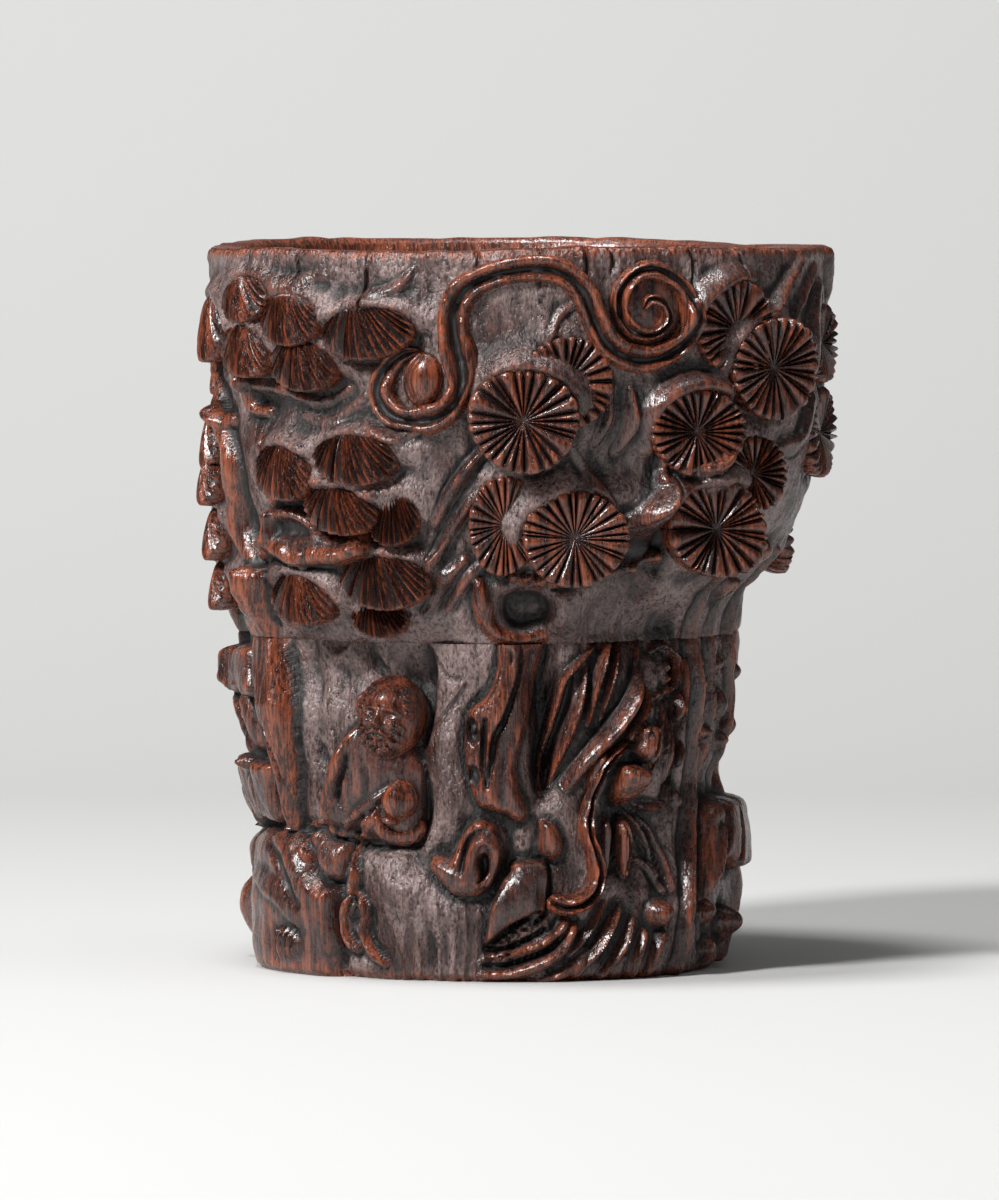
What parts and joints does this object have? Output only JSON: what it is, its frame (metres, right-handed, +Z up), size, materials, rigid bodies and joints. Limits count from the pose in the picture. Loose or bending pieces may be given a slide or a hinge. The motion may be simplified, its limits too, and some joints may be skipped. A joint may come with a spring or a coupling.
{
  "type": "carved wooden cup",
  "caption": "Flared wooden cup carved as an old pine trunk, with pleated needle clusters above and roots, rocks and a seated figure below.",
  "frame": {"origin": "centre of the foot's underside, on the plane that the cup rests on", "axes": "+Z up through the mouth, -Y towards the front with the vine and the seated figure, +X to the right of that front"},
  "size_m": [0.0936, 0.0924, 0.104],
  "materials": {
    "upper_wood": "dark red-brown rosewood, hand-rubbed wax, satin to glossy on the high points",
    "lower_wood": "dark red-brown rosewood, hand-rubbed wax, worn orange-red on the edges",
    "plug_wood": "the same rosewood, turned and left duller"
  },
  "bodies": {
    "root": {"upper_block": "upper_wood", "lower_block": "lower_wood", "floor_plug": "plug_wood"}
  },
  "joints": []
}
